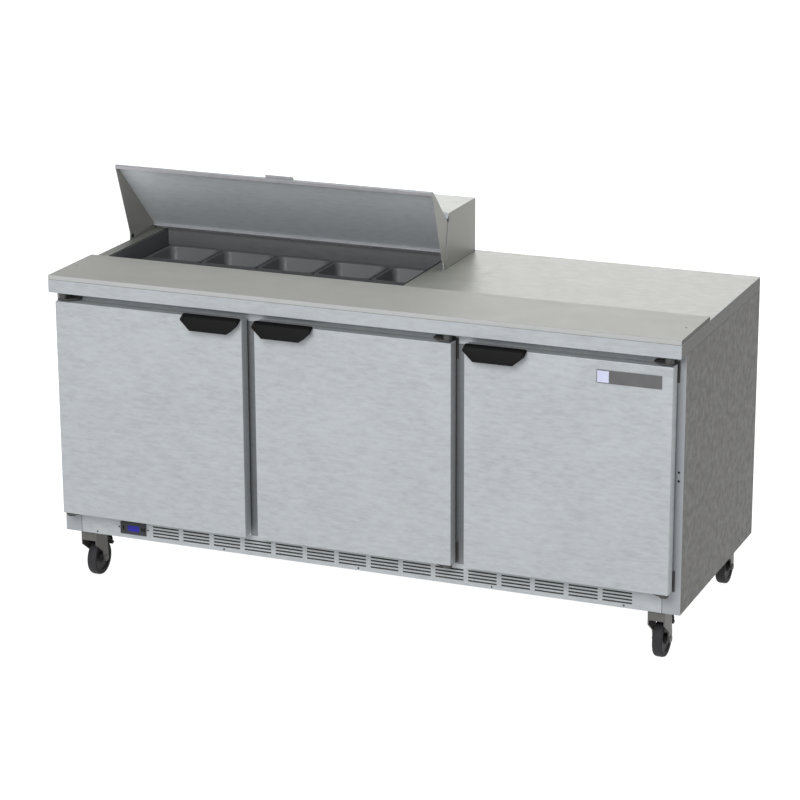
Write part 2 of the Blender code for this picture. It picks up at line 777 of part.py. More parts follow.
def build_casters(dark_steel, wheel_grey, black_plastic):
    corners = (
        ("front_left", STEM_INSET, STEM_FRONT_Y),
        ("front_right", WIDTH - STEM_INSET, STEM_FRONT_Y),
        ("rear_left", STEM_INSET, STEM_REAR_Y),
        ("rear_right", WIDTH - STEM_INSET, STEM_REAR_Y),
    )
    for corner, x, y in corners:
        fork = f"caster_fork_{corner}"
        make(fork, fork_shape(x, y), dark_steel, (x, y, SHELL_BOTTOM), smooth=True)
        axle = (x, y + TRAIL, WHEEL_RADIUS)
        make(f"caster_wheel_{corner}", wheel_shape(x, y), wheel_grey, axle, fork, smooth=True)
        if corner.startswith("front"):
            hinge = (x, y + 0.024, 0.121)
            make(f"brake_pedal_{corner}", pedal_shape(x, y), black_plastic, hinge, fork)


def build():
    clear_scene()
    middle_y = (FRONT_MOST + REAR_MOST) / 2
    make_empty("prep_table", (-WIDTH / 2, -middle_y, 0), None)
    steel = material("brushed_steel", (0.62, 0.63, 0.63), 1, 0.35)
    inner_steel = material("inner_steel", (0.50, 0.51, 0.52), 1, 0.45)
    pan_steel = material("pan_steel", (0.66, 0.67, 0.68), 1, 0.25)
    dark_steel = material("dark_steel", (0.22, 0.21, 0.19), 1, 0.50)
    coil_metal = material("coil_metal", (0.55, 0.55, 0.55), 1, 0.50)
    shelf_coat = material("shelf_coat", (0.80, 0.80, 0.78), 0, 0.45)
    board_white = material("board_white", (0.85, 0.85, 0.82), 0, 0.50)
    black_plastic = material("black_plastic", (0.02, 0.02, 0.02), 0, 0.50)
    dark_plastic = material("controller_grey", (0.10, 0.11, 0.12), 0, 0.40)
    rubber = material("gasket_rubber", (0.05, 0.05, 0.05), 0, 0.80)
    wheel_grey = material("wheel_grey", (0.10, 0.10, 0.10), 0, 0.60)
    badge = material("badge_grey", (0.30, 0.30, 0.31), 0, 0.40)
    build_shell(steel, inner_steel)
    build_base(inner_steel)
    build_top(steel, inner_steel, board_white)
    build_kick(steel, dark_plastic)
    build_hood(steel)
    build_lid(steel)
    build_pans(pan_steel)
    build_doors(steel, rubber, black_plastic, badge)
    build_brackets(dark_steel)
    build_shelves(shelf_coat)
    build_machine(dark_steel, coil_metal)
    build_casters(dark_steel, wheel_grey, black_plastic)


build()
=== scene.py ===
"""Looks of the three-door sandwich prep table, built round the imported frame.

Places are given in the cabinet's own coordinates, as X from the worktop's left end, Y from the
front of the doors and Z from the floor, and at() puts them in the frame. Metres throughout.
"""

import math

import bmesh
import bpy
from mathutils import Matrix, Vector


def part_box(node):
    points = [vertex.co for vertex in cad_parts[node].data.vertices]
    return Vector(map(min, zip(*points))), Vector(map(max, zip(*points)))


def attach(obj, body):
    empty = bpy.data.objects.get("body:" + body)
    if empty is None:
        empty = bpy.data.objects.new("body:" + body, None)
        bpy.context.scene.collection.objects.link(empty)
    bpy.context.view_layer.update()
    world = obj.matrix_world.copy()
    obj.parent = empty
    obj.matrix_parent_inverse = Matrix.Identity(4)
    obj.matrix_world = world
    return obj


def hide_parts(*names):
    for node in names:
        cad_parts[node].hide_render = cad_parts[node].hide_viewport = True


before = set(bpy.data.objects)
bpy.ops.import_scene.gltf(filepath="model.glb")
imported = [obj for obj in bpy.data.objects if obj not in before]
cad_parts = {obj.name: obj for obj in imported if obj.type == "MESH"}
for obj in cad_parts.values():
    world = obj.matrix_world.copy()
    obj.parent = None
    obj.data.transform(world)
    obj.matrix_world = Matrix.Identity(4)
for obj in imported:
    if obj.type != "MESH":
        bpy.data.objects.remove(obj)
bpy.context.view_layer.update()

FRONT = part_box("door_1")[0].y
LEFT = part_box("worktop")[0].x
SHELL_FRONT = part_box("side_panel_left")[0].y - FRONT
WORKTOP = 0.9002  # just clear of the worktop's surface
WELL_MIDDLE = (0.4905, 0.4752)
WELL_HALF = (0.4503, 0.1830)
SMOOTH_ANGLE = math.radians(35)
PROUD = 0.0004
CORNERS = ("front_left", "front_right", "rear_left", "rear_right")

# Camera: place, turn about Z, tilt down and roll, then focal length on a 36 mm sensor
CAMERA_AT = (3.78791, -6.62482, 2.85538)
CAMERA_TURN = math.radians(22.416)
CAMERA_TILT = math.radians(16.980)
CAMERA_ROLL = math.radians(-0.213)
CAMERA_LENS = 126.746


def at(x, y, z):
    """A point in the row frame from cabinet coordinates."""
    return Vector((x + LEFT, y + FRONT, z))


# ---------------------------------------------------------------- materials

# How a face's tilt fades the painted light and shade in, from none to all of it
UP_FADE = (0.50, 0.65)
SIDE_FADE = (0.80, 0.92)


class Nodes:
    """A material's node tree, with short calls for the few node kinds used here."""

    def __init__(self, name):
        self.material = bpy.data.materials.new(name)
        self.material.use_nodes = True
        self.tree = self.material.node_tree
        self.shader = self.tree.nodes["Principled BSDF"]
        surface = self.tree.nodes.new("ShaderNodeTexCoord")
        self.place = surface.outputs["Object"]
        self.normal = surface.outputs["Normal"]

    def link(self, source, target):
        self.tree.links.new(source, target)

    def noise(self, scale, stretch=(1, 1, 1), detail=2.0, roughness=0.5):
        mapping = self.tree.nodes.new("ShaderNodeMapping")
        mapping.inputs["Scale"].default_value = stretch
        self.link(self.place, mapping.inputs["Vector"])
        node = self.tree.nodes.new("ShaderNodeTexNoise")
        node.inputs["Scale"].default_value = scale
        node.inputs["Detail"].default_value = detail
        node.inputs["Roughness"].default_value = roughness
        self.link(mapping.outputs["Vector"], node.inputs["Vector"])
        return node.outputs["Fac"]

    def ramp(self, source, stops):
        """Colours or greys along a 0 to 1 value, as (place, colour) pairs."""
        node = self.tree.nodes.new("ShaderNodeValToRGB")
        elements = node.color_ramp.elements
        while len(elements) < len(stops):
            elements.new(0.5)
        for element, (position, colour) in zip(elements, stops):
            element.position = position
            element.color = (*colour, 1) if len(colour) == 3 else colour
        self.link(source, node.inputs["Fac"])
        return node.outputs["Color"]

    def spread(self, source, low, high, start=0.3, end=0.7):
        """A value mapped to the range low to high."""
        node = self.tree.nodes.new("ShaderNodeMapRange")
        node.inputs["From Min"].default_value = start
        node.inputs["From Max"].default_value = end
        node.inputs["To Min"].default_value = low
        node.inputs["To Max"].default_value = high
        self.link(source, node.inputs["Value"])
        return node.outputs["Result"]

    def mix(self, factor, first, second):
        node = self.tree.nodes.new("ShaderNodeMix")
        node.data_type = "RGBA"
        self.link(factor, node.inputs["Factor"])
        self.link(first, node.inputs["A"])
        self.link(second, node.inputs["B"])
        return node.outputs["Result"]

    def shaded(self, colour, facing, share):
        """Painted light and shade: the colour multiplied by share on the faces that look a given
        way: x, y, z or up.
        """
        parts = self.tree.nodes.new("ShaderNodeSeparateXYZ")
        self.link(self.normal, parts.inputs["Vector"])
        if facing == "up":
            amount = self.spread(parts.outputs["Z"], 0, 1, *UP_FADE)
        else:
            size = self.tree.nodes.new("ShaderNodeMath")
            size.operation = "ABSOLUTE"
            self.link(parts.outputs[facing.upper()], size.inputs[0])
            amount = self.spread(size.outputs["Value"], 0, 1, *SIDE_FADE)
        node = self.tree.nodes.new("ShaderNodeMix")
        node.data_type = "RGBA"
        node.blend_type = "MULTIPLY"
        self.link(amount, node.inputs["Factor"])
        self.link(colour, node.inputs["A"])
        node.inputs["B"].default_value = (*share, 1)
        return node.outputs["Result"]

    def bump(self, height, strength, distance):
        node = self.tree.nodes.new("ShaderNodeBump")
        node.inputs["Strength"].default_value = strength
        node.inputs["Distance"].default_value = distance
        self.link(height, node.inputs["Height"])
        self.link(node.outputs["Normal"], self.shader.inputs["Normal"])

    def set(self, **values):
        names = {"metallic": "Metallic", "roughness": "Roughness", "specular": "Specular IOR Level"}
        for key, value in values.items():
            self.shader.inputs[names.get(key, key)].default_value = value


def grey(level, tint=(1, 1, 1)):
    return tuple(level * part for part in tint)


def brushed(name, level, tint, grain, contrast=0.10, metallic=0.20, roughness=0.42, **painted_light_and_shade):
    """Stainless sheet with short broken brush marks. grain is the stretch that lays them flat.

    Each of x, y, z and up is painted light and shade on the faces that look that way, darker or
    lighter as the light falls on them.
    """
    nodes = Nodes(name)
    marks = nodes.noise(1.0, grain, detail=4.0, roughness=0.62)
    cloud = nodes.noise(7.0, (1, 1, 1), detail=3.0)
    light = grey(level * (1 + contrast), tint)
    dark = grey(level * (1 - contrast), tint)
    streaks = nodes.ramp(marks, [(0.30, dark), (0.47, grey(level, tint)), (0.70, light)])
    shaded = nodes.ramp(cloud, [(0.3, grey(level * (1 - contrast * 0.5), tint)), (0.7, light)])
    blend = nodes.spread(cloud, 0.15, 0.35)
    colour = nodes.mix(blend, streaks, shaded)
    # Painted light and shade: each share multiplies the colour on the faces that look its way
    for facing, share in painted_light_and_shade.items():
        colour = nodes.shaded(colour, facing, share)
    nodes.link(colour, nodes.shader.inputs["Base Color"])
    sheen = nodes.spread(marks, roughness - 0.07, roughness + 0.09)
    nodes.link(sheen, nodes.shader.inputs["Roughness"])
    fine = tuple(part * 5 for part in grain)
    nodes.bump(nodes.noise(1.0, fine, detail=2.0), 0.12, 0.0003)
    nodes.set(metallic=metallic, specular=0.3)
    return nodes.material


def plastic(name, colour, roughness, pebble, strength, metallic=0.0, wear_depth=0.12, **painted_light_and_shade):
    """Moulded plastic, rubber or painted metal with a fine surface and slight wear."""
    nodes = Nodes(name)
    wear = nodes.noise(18.0, detail=4.0)
    low = tuple(part * (1 - wear_depth) for part in colour)
    high = tuple(min(1.0, part * (1 + wear_depth)) for part in colour)
    worn = nodes.ramp(wear, [(0.3, low), (0.7, high)])
    # Painted light and shade: each share multiplies the colour on the faces that look its way
    for facing, share in painted_light_and_shade.items():
        worn = nodes.shaded(worn, facing, share)
    nodes.link(worn, nodes.shader.inputs["Base Color"])
    sheen = nodes.spread(wear, roughness - 0.06, roughness + 0.06)
    nodes.link(sheen, nodes.shader.inputs["Roughness"])
    nodes.bump(nodes.noise(pebble, detail=2.0), strength, 0.0002)
    nodes.set(metallic=metallic, specular=0.15)
    return nodes.material


# The stretch of the brush marks on upright and on flat sheet, and of the unbrushed sides
ALONG_X_UPRIGHT = (34, 34, 115)
ALONG_X_FLAT = (34, 115, 115)
MOTTLED = (45, 45, 45)
COOL = (0.945, 1.0, 1.045)
WARM = (1.02, 1.0, 0.94)
NEUTRAL = (1.0, 1.0, 0.99)

# Painted light and shade on the faces that look one way: each share darkens those faces, or above 1
# lightens them, as the studio light falls on them
SIDE_PAINTED_SHADE = {"x": (0.136, 0.126, 0.098), "y": (0.72, 0.72, 0.73)}
WORKTOP_PAINTED_SHADE = {"x": (0.145, 0.138, 0.117), "y": (0.77, 0.77, 0.78), "z": (0.425, 0.412, 0.355)}
HOOD_PAINTED_SHADE = {"x": (0.72, 0.675, 0.595), "z": (0.55, 0.54, 0.47)}
LID_PAINTED_SHADE = {"x": (0.555, 0.52, 0.46), "y": (0.575, 0.54, 0.545), "up": (0.42, 0.42, 0.42)}
FORK_PAINTED_SHADE = {"x": (0.60, 0.59, 0.55)}
BOARD_PAINTED_LIGHT_AND_SHADE = {"x": (0.45, 0.45, 0.44), "y": (1.4, 1.42, 1.5)}

# Steels: name, level, tint, grain, then contrast, metallic and roughness where not the usual.
# Plastics: name, colour, roughness, pebble scale, pebble strength, then metallic and wear depth.
LOOKS = {
    # Painted light on the doors' side faces: the x share below lightens them
    "front_steel": brushed("front_steel", 0.328, COOL, ALONG_X_UPRIGHT, 0.13, x=(1.2, 1.2, 1.18)),
    "side_steel": brushed("side_steel", 0.38, COOL, MOTTLED, 0.03, **SIDE_PAINTED_SHADE),
    "top_steel": brushed("top_steel", 0.42, COOL, ALONG_X_FLAT, **WORKTOP_PAINTED_SHADE),
    "hood_steel": brushed("hood_steel", 0.42, COOL, ALONG_X_FLAT, **HOOD_PAINTED_SHADE),
    # A lighter copy of the steel for the lid: painted light on its underside, painted shade from
    # its shares on the other faces
    "lid_light_and_shade_steel": brushed("lid_light_and_shade_steel", 0.60, COOL, ALONG_X_FLAT, **LID_PAINTED_SHADE),
    # A lighter copy of the steel: painted light on the face frame and the apron, which sit in shade
    "frame_lit_steel": brushed("frame_lit_steel", 0.54, COOL, ALONG_X_UPRIGHT, 0.08, roughness=0.5),
    # Dark steel: painted shade on the strips between the doors, and the dark joint at the hood
    "shade_and_joint_steel": brushed("shade_and_joint_steel", 0.15, COOL, ALONG_X_UPRIGHT, 0.08, roughness=0.5),
    "inner_steel": brushed("inner_steel", 0.20, COOL, ALONG_X_UPRIGHT, 0.12, roughness=0.5),
    # Near black steel: painted shade on the walls and bars inside the well
    "well_shade_steel": brushed("well_shade_steel", 0.085, COOL, ALONG_X_FLAT, 0.08, roughness=0.5),
    # Steel far darker than the pans' own: painted shade for the well they sit in
    "pan_steel": brushed("pan_steel", 0.095, COOL, (30, 30, 60), 0.06, 0.10, 0.50),
    "screw_steel": brushed("screw_steel", 0.40, NEUTRAL, (60, 60, 60), 0.10, 0.8, 0.35),
    "bracket_steel": brushed("bracket_steel", 0.055, NEUTRAL, (60, 60, 60), 0.20, 0.3, 0.45),
    "fork_steel": brushed("fork_steel", 0.092, WARM, (50, 50, 50), 0.18, 0.4, 0.38, **FORK_PAINTED_SHADE),
    "coil_metal": brushed("coil_metal", 0.50, NEUTRAL, (80, 80, 80), 0.12, 0.8, 0.40),
    # Painted light on the board's front edge and painted shade on its ends
    "board": plastic("board", (0.222, 0.224, 0.210), 0.55, 900.0, 0.10, 0.0, 0.025, **BOARD_PAINTED_LIGHT_AND_SHADE),
    "black_plastic": plastic("black_plastic", (0.0018, 0.0018, 0.0022), 0.60, 1500.0, 0.2),
    "gasket": plastic("gasket", (0.020, 0.021, 0.024), 0.75, 600.0, 0.1),
    "dark_plastic": plastic("dark_plastic", (0.030, 0.032, 0.035), 0.40, 1500.0, 0.1),
    "lcd": plastic("lcd", (0.018, 0.016, 0.22), 0.25, 2000.0, 0.02),
    "badge_bar": plastic("badge_bar", (0.095, 0.095, 0.098), 0.35, 1500.0, 0.05),
    "badge_square": plastic("badge_square", (0.45, 0.47, 0.60), 0.35, 1500.0, 0.05),
    # Painted shade on the side faces of the tyre and wheel core, from their x share
    "tyre": plastic("tyre", (0.024, 0.024, 0.026), 0.60, 700.0, 0.25, x=(0.15, 0.15, 0.145)),
    "wheel_core": plastic("wheel_core", (0.008, 0.008, 0.008), 0.50, 900.0, 0.1, x=(0.5, 0.5, 0.5)),
    "shelf_coat": plastic("shelf_coat", (0.62, 0.62, 0.58), 0.40, 500.0, 0.05),
    "liner": plastic("liner", (0.46, 0.47, 0.48), 0.45, 400.0, 0.05, 0.2, 0.03),
    "painted_black": plastic("painted_black", (0.030, 0.030, 0.030), 0.40, 300.0, 0.10),
    # Near black blades: painted shade inside the kick panel's slots
    "louvre": plastic("louvre", (0.060, 0.061, 0.060), 0.6, 300.0, 0.05),
    "shadow": plastic("shadow", (0.008, 0.008, 0.009), 0.80, 100.0, 0.02),
}

NODE_LOOKS = {
    "front_steel": ["door_1", "door_2", "door_3", "kick_panel", "back_panel"],
    "side_steel": ["side_panel_left", "side_panel_right"],
    "top_steel": ["worktop"],
    "hood_steel": ["hood"],
    "lid_light_and_shade_steel": ["lid", "lid_pull"],
    "frame_lit_steel": ["face_frame"],
    "inner_steel": ["base"],
    # Painted shade on the pan frame and bar inside the well
    "well_shade_steel": ["pan_frame", "pan_bar"],
    "shadow": ["lid_pin_left", "lid_pin_right"],
    "board": ["cutting_board"],
    "dark_plastic": ["controller"],
    "badge_bar": ["badge_plate"],
    "coil_metal": ["condenser_coil", "evaporator_coil"],
    "painted_black": ["compressor", "condenser_fan", "evaporator_fan"],
    "gasket": [f"door_gasket_{n}" for n in (1, 2, 3)],
    "black_plastic": [f"door_handle_{n}" for n in (1, 2, 3)]
    + ["brake_pedal_front_left", "brake_pedal_front_right"],
}


def dress_nodes():
    """Every CAD node gets a look of its own kind."""
    for name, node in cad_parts.items():
        if name.startswith("hinge_bracket"):
            look = "bracket_steel"
        elif name.startswith("caster_fork"):
            look = "fork_steel"
        elif name.startswith("caster_wheel"):
            look = "tyre"
        elif name.startswith("pan_") and name[-1].isdigit():
            look = "pan_steel"
        elif name.startswith("shelf"):
            look = "shelf_coat"
        else:
            look = next(key for key, names in NODE_LOOKS.items() if name in names)
        node.data.materials.clear()
        node.data.materials.append(LOOKS[look])


# ---------------------------------------------------------------- shapes


def piece(name, mesh, look, body, smooth=True):
    """One visible piece, riding on a body."""
    thing = bpy.data.objects.new(name, mesh)
    bpy.context.scene.collection.objects.link(thing)
    mesh.materials.append(LOOKS[look])
    if smooth:
        mesh.shade_smooth()
        mesh.set_sharp_from_angle(angle=SMOOTH_ANGLE)
    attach(thing, body)
    return thing


def mesh_of(points, faces):
    mesh = bpy.data.meshes.new("shape")
    mesh.from_pydata([tuple(point) for point in points], [], faces)
    shape = bmesh.new()
    shape.from_mesh(mesh)
    bmesh.ops.recalc_face_normals(shape, faces=shape.faces)
    shape.to_mesh(mesh)
    shape.free()
    return mesh


def rounded(mesh, width, segments=3):
    """The mesh with its sharp edges rounded."""
    shape = bmesh.new()
    shape.from_mesh(mesh)
    sharp = [edge for edge in shape.edges if edge.calc_face_angle(0) > SMOOTH_ANGLE]
    bmesh.ops.bevel(
        shape,
        geom=sharp,
        offset=width,
        segments=segments,
        profile=0.5,
        affect="EDGES",
        clamp_overlap=True,
    )
    shape.to_mesh(mesh)
    shape.free()
    return mesh


def box_mesh(low, high, bevel=0.0, segments=3):
    """A box with rounded edges."""
    points = [
        (x, y, z) for x in (low[0], high[0]) for y in (low[1], high[1]) for z in (low[2], high[2])
    ]
    faces = [(0, 1, 3, 2), (4, 6, 7, 5), (0, 4, 5, 1), (2, 3, 7, 6), (0, 2, 6, 4), (1, 5, 7, 3)]
    mesh = mesh_of(points, faces)
    return rounded(mesh, bevel, segments) if bevel else mesh


def lathe_mesh(profile, centre, axis, segments=64):
    """A profile of (radius, along) pairs turned about an axis through centre."""
    forward = Vector(axis).normalized()
    across = forward.orthogonal().normalized()
    up = forward.cross(across)
    points = []
    rings = []
    for radius, along in profile:
        base = Vector(centre) + forward * along
        if radius == 0:
            rings.append([len(points)] * segments)
            points.append(base)
            continue
        rings.append([len(points) + n for n in range(segments)])
        for n in range(segments):
            angle = math.tau * n / segments
            spoke = across * math.cos(angle) + up * math.sin(angle)
            points.append(base + spoke * radius)
    pairs = list(zip(rings, rings[1:]))
    if profile[0][0] > 0:
        pairs.append((rings[-1], rings[0]))
    faces = []
    for one, two in pairs:
        for n in range(segments):
            after = (n + 1) % segments
            faces.append(tuple(dict.fromkeys((one[n], one[after], two[after], two[n]))))
    return mesh_of(points, faces)


def loft_mesh(rings, capped=True):
    """Closed rings of equally many points joined one after another."""
    count = len(rings[0])
    points = [point for ring in rings for point in ring]
    faces = []
    if capped:
        faces = [tuple(range(count)), tuple(range(len(points) - count, len(points)))]
    for level in range(len(rings) - 1):
        low = level * count
        for n in range(count):
            after = (n + 1) % count
            faces.append((low + n, low + after, low + after + count, low + n + count))
    return mesh_of(points, faces)


def joined(meshes):
    """Several meshes as one."""
    shape = bmesh.new()
    for mesh in meshes:
        shape.from_mesh(mesh)
    whole = bpy.data.meshes.new("shape")
    shape.to_mesh(whole)
    shape.free()
    return whole


def tubes(name, paths, radius, look, body):
    """Round wires or pipes along straight-sided paths."""
    data = bpy.data.curves.new(name, "CURVE")
    data.dimensions = "3D"
    data.bevel_depth = radius
    data.bevel_resolution = 3
    data.use_fill_caps = True
    for path in paths:
        spline = data.splines.new("POLY")
        spline.points.add(len(path) - 1)
        for point, place in zip(spline.points, path):
            point.co = (*place, 1)
    thing = bpy.data.objects.new(name, data)
    bpy.context.scene.collection.objects.link(thing)
    data.materials.append(LOOKS[look])
    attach(thing, body)
    return thing


def rounded_ring(centre, half_x, half_y, radius, height, steps=8):
    """The points of a rectangle with rounded corners."""
    ring = []
    for quarter, (side_x, side_y) in enumerate(((1, 1), (-1, 1), (-1, -1), (1, -1))):
        for step in range(steps + 1):
            angle = math.pi / 2 * (quarter + step / steps)
            x = side_x * (half_x - radius) + radius * math.cos(angle)
            y = side_y * (half_y - radius) + radius * math.sin(angle)
            ring.append((centre.x + x, centre.y + y, height))
    return ring


# ---------------------------------------------------------------- pieces


def make_pans():
    """Drawn pans with a rolled rim and a rounded foot."""
    sheet = 0.0011
    wall = 0.0085
    draft = 0.006
    for row in ("back", "front"):
        for number in range(1, 6):
            node = f"pan_{row}_{number}"
            low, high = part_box(node)
            centre = (low + high) / 2
            half_x = (high.x - low.x) / 2
            half_y = (high.y - low.y) / 2
            top = high.z
            bottom = low.z
            # Inset from the rim, corner radius and height, up the outside and down the inside
            rings = [
                (wall + draft + 0.010, 0.012, bottom),
                (wall + draft + 0.004, 0.016, bottom + 0.0014),
                (wall + draft, 0.019, bottom + 0.006),
                (wall + 0.0012, 0.021, top - 0.006),
                (wall, 0.021, top - 0.0030),
                (wall - 0.0012, 0.0215, top - 0.0014),
                (0.0016, 0.0125, top - 0.0014),
                (0.0004, 0.0125, top - 0.0011),
                (0.0000, 0.0125, top - 0.0006),
                (0.0004, 0.0125, top - 0.0001),
                (0.0016, 0.0125, top),
                (wall - 0.0018, 0.0215, top - 0.0001),
                (wall - 0.0002, 0.0205, top - 0.0012),
                (wall + sheet, 0.0200, top - 0.0035),
                (wall + sheet + draft, 0.0180, bottom + 0.0075),
                (wall + sheet + draft + 0.0025, 0.0165, bottom + 0.0032),
                (wall + sheet + draft + 0.0080, 0.0120, bottom + sheet),
            ]
            skin = loft_mesh(
                [rounded_ring(centre, half_x - i, half_y - i, r, z) for i, r, z in rings]
            )
            name = f"pan_skin_{row}_{number}"
            # Painted shade: the pans' skin is dark steel for the shade in the well
            shown = piece(name, skin, "pan_steel", f"pan_body_{row}_{number}")
            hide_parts(node)


def hull_mesh(points):
    """The convex shape round some points."""
    shape = bmesh.new()
    for point in points:
        shape.verts.new(point)
    bmesh.ops.convex_hull(shape, input=shape.verts)
    bmesh.ops.dissolve_limit(shape, angle_limit=0.01, verts=shape.verts, edges=shape.edges)
    mesh = bpy.data.meshes.new("shape")
    shape.to_mesh(mesh)
    shape.free()
    return mesh


def cut(mesh, tool):
    """The mesh less the tool."""
    whole = bpy.data.objects.new("whole", mesh)
    part = bpy.data.objects.new("part", tool)
    for thing in (whole, part):
        bpy.context.scene.collection.objects.link(thing)
    step = whole.modifiers.new("cut", "BOOLEAN")
    step.operation = "DIFFERENCE"
    step.solver = "EXACT"
    step.object = part
    graph = bpy.context.evaluated_depsgraph_get()
    result = bpy.data.meshes.new_from_object(whole.evaluated_get(graph))
    for thing in (whole, part):
        bpy.data.objects.remove(thing)
    return result


def make_handles():
    """Hooked door pulls with rounded corners, hollow behind for the fingers."""
    foot_taper = 0.0315
    corner = 0.010
    back = -0.0004
    lip_share = 0.75
    lip_drop = 0.006
    top_wall = 0.0120
    foot_wall = 0.0177
    behind = 0.0040
    below = 0.0125
    for number in (1, 2, 3):
        low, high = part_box(f"door_handle_{number}")
        middle = (low.x + high.x) / 2 - LEFT
        half_top = (high.x - low.x) / 2
        half_foot = half_top - foot_taper
        front = low.y - FRONT
        foot = low.z
        outer = []
        inner = []
        for side in (-1, 1):
            for step in range(6):
                angle = math.pi / 2 * step / 5
                x = middle + side * (half_top - corner * (1 - math.cos(angle)))
                drop = corner * (1 - math.sin(angle))
                outer.append(at(x, back, high.z - drop * 0.3))
                outer.append(at(x, front * lip_share, high.z - lip_drop - drop))
            outer.append(at(middle + side * half_foot, front, foot))
            outer.append(at(middle + side * half_foot, back, foot))
            inner += [
                at(middle + side * (half_top - top_wall), behind, high.z - 0.0020),
                at(middle + side * (half_top - top_wall), -0.0185, high.z - 0.0155),
                at(middle + side * (half_foot - foot_wall), -0.0258, foot - below),
                at(middle + side * (half_foot - foot_wall), behind, foot - below),
            ]
        shape = cut(rounded(hull_mesh(outer), 0.0028, 4), rounded(hull_mesh(inner), 0.0020, 3))
        body = f"door_body_{number}"
        shown = piece(f"door_pull_{number}", shape, "black_plastic", body)
        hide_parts(f"door_handle_{number}")


def make_wheels():
    """A solid dark tread on a black moulded core with a raised hub."""
    half = 0.0138
    inner_radius = 0.0395
    shoulder = 0.0045
    axle = (1, 0, 0)
    # The core's side face: radius and distance from the middle, from the hub out
    side = [
        (0.0068, 0.0165),
        (0.0140, 0.0165),
        (0.0152, 0.0152),
        (0.0168, 0.0108),
        (0.0200, 0.0098),
        (0.0330, 0.0098),
        (0.0362, 0.0110),
        (0.0378, 0.0130),
        (0.0402, 0.0133),
    ]
    core = [(r, -along) for r, along in side] + [(r, along) for r, along in reversed(side)]
    for corner in CORNERS:
        low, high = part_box(f"caster_wheel_{corner}")
        centre = (low + high) / 2
        radius = (high.z - low.z) / 2
        body = f"wheel_body_{corner}"
        tread = [(inner_radius, -half + 0.0006)]
        for step in range(9):
            angle = math.pi / 2 * step / 8
            along = -half + shoulder - shoulder * math.cos(angle)
            tread.append((radius - 0.0042 + 0.0034 * math.sin(angle), along))
        tread.append((radius, -0.0075))
        tread += [(r, -along) for r, along in reversed(tread)]
        shape = lathe_mesh(tread, centre, axle)
        shown = piece(f"tread_{corner}", shape, "tyre", body)
        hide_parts(f"caster_wheel_{corner}")
        shape = lathe_mesh(core, centre, axle)
        piece(f"wheel_core_{corner}", shape, "wheel_core", body)


def make_brake_covers():
    """A curved black cover behind each front fork, over the rear of its wheel."""
    half = 0.0165
    # Distance behind the axle and height
    outside = [(0.013, 0.1215), (0.033, 0.1185), (0.045, 0.1085), (0.053, 0.095), (0.056, 0.081)]
    inside = [
        (0.0540, 0.0812),
        (0.0510, 0.0942),
        (0.0436, 0.1068),
        (0.0322, 0.1163),
        (0.0130, 0.1193),
    ]
    for corner in CORNERS[:2]:
        low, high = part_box(f"caster_wheel_{corner}")
        centre = (low + high) / 2
        rings = []
        for x in (-half, half):
            rings.append([Vector((centre.x + x, centre.y + y, z)) for y, z in outside + inside])
        shape = rounded(loft_mesh(rings), 0.0006, 2)
        name = f"brake_cover_{corner}"
        piece(name, shape, "black_plastic", f"brake_body_{corner}")


def make_controller():
    """A display window and three keys on the controller's front."""
    low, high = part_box("controller")
    face = low.y
    edge = 0.0003
    margin = 0.009
    window_low = Vector((low.x + 0.024, face - PROUD, low.z + margin))
    window_high = Vector((low.x + 0.060, face + 0.001, high.z - margin))
    window = box_mesh(window_low, window_high, edge)
    piece("display", window, "lcd", "cabinet")
    key_size = Vector((0.0045, 0.001, 0.011))
    for number, x in enumerate((0.008, 0.066, 0.073)):
        key_low = Vector((low.x + x, face - PROUD, low.z + 0.012))
        key = box_mesh(key_low, key_low + key_size, edge)
        piece(f"key_{number + 1}", key, "black_plastic", "cabinet")


def screw_mesh(centre, direction, radius):
    """A pan-head screw with its washer, as a turned shape pointing along direction."""
    profile = [
        (0, -0.0010),
        (radius * 1.25, -0.0010),
        (radius * 1.25, 0.0002),
        (radius, 0.0003),
        (radius * 0.96, 0.0007),
        (radius * 0.72, 0.0013),
        (radius * 0.34, 0.0015),
        (radius * 0.30, 0.0008),
        (0, 0.0007),
    ]
    return lathe_mesh(profile, centre, direction, 20)


def make_screws():
    """Screws beside the controller and along the kick panel, and two holes in the right side."""
    front = (0, -1, 0)
    screw_radius = 0.0022
    hole_radius = 0.0032
    spots = [(x, 0.1775) for x in (0.1705, 0.2618)]
    spots += [(x, 0.1535) for x in (0.100, 0.500, 0.909, 1.300, 1.6735)]
    shapes = [screw_mesh(at(x, SHELL_FRONT, z), front, screw_radius) for x, z in spots]
    piece("kick_screws", joined(shapes), "bracket_steel", "cabinet")
    plug = [(0, -0.001), (hole_radius, -0.001), (hole_radius, PROUD), (0, PROUD)]
    holes = [lathe_mesh(plug, at(1.8155, SHELL_FRONT, z), front, 24) for z in (0.542, 0.518)]
    piece("stile_holes", joined(holes), "shadow", "cabinet")


